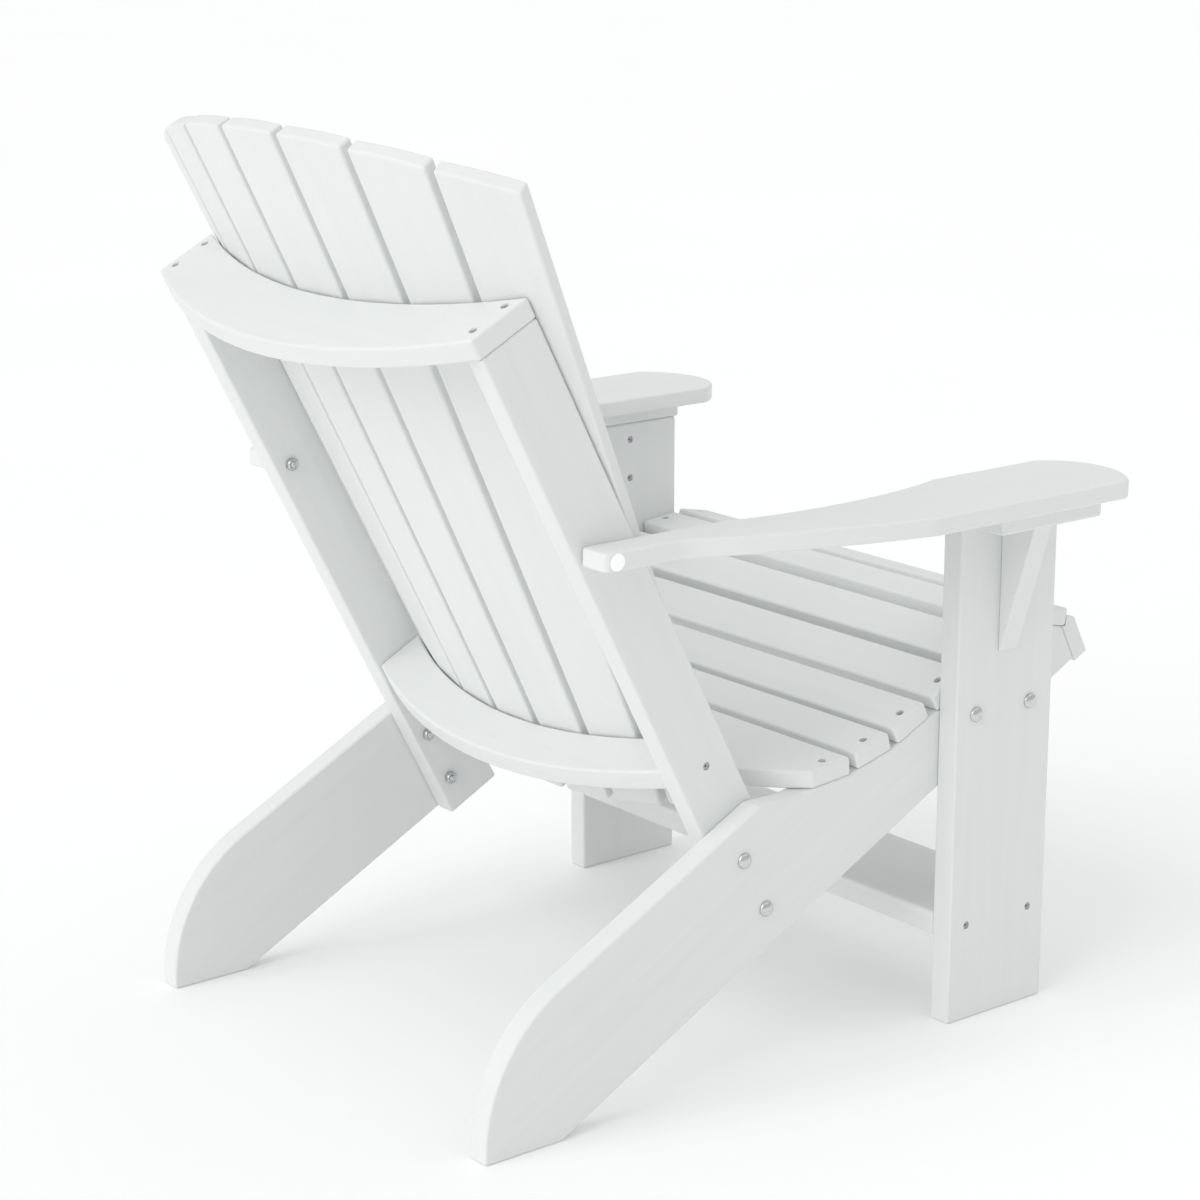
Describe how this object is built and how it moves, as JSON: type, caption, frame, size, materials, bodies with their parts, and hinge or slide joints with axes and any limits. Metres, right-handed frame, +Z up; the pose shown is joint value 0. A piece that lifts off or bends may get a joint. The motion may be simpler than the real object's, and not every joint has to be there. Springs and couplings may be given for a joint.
{
  "type": "adirondack chair",
  "caption": "Outdoor lounge chair of recycled plastic planks: sloping slatted seat, reclined fan back, wide flat arms; rests on two front legs and two sloping side rails.",
  "frame": {"origin": "floor level under the centre of the chair's outline", "axes": "+Z up, the chair faces -Y, +X to the sitter's left"},
  "size_m": [0.7874, 0.852, 0.9571],
  "materials": {
    "plank": "fine lengthwise grain, satin",
    "bolt_steel": "polished domed head",
    "nut_steel": "plain",
    "cap": "smooth",
    "screw_steel": "dull, recessed"
  },
  "bodies": {
    "root": {"front_leg_left": "plank", "front_leg_right": "plank", "stringer_left": "plank", "stringer_right": "plank", "back_post_left": "plank", "back_post_right": "plank", "arm_left": "plank", "arm_right": "plank", "arm_block_left": "plank", "arm_block_right": "plank", "arm_bracket_left": "plank", "arm_bracket_right": "plank", "upper_back_rail": "plank", "lower_back_rail": "plank", "back_slat_1": "plank", "back_slat_2": "plank", "back_slat_3": "plank", "back_slat_4": "plank", "back_slat_5": "plank", "back_slat_6": "plank", "back_slat_7": "plank", "seat_slat_1": "plank", "seat_slat_2": "plank", "seat_slat_3": "plank", "seat_slat_4": "plank", "seat_slat_5": "plank", "seat_slat_6": "plank", "rear_seat_board": "plank", "front_apron": "plank", "front_stretcher": "plank", "leg_bolts": "bolt_steel", "post_bolts": "bolt_steel", "arm_bolts": "bolt_steel", "leg_bolt_nuts": "nut_steel", "post_bolt_nuts": "nut_steel", "arm_bolt_nuts": "nut_steel", "arm_bolt_caps": "cap", "seat_screws": "screw_steel", "apron_screws": "screw_steel", "stretcher_screws": "screw_steel", "bracket_screws": "screw_steel", "block_screws": "screw_steel", "arm_screws": "screw_steel", "upper_rail_screws": "screw_steel", "lower_rail_screws": "screw_steel", "back_slat_screws": "screw_steel"}
  },
  "joints": []
}
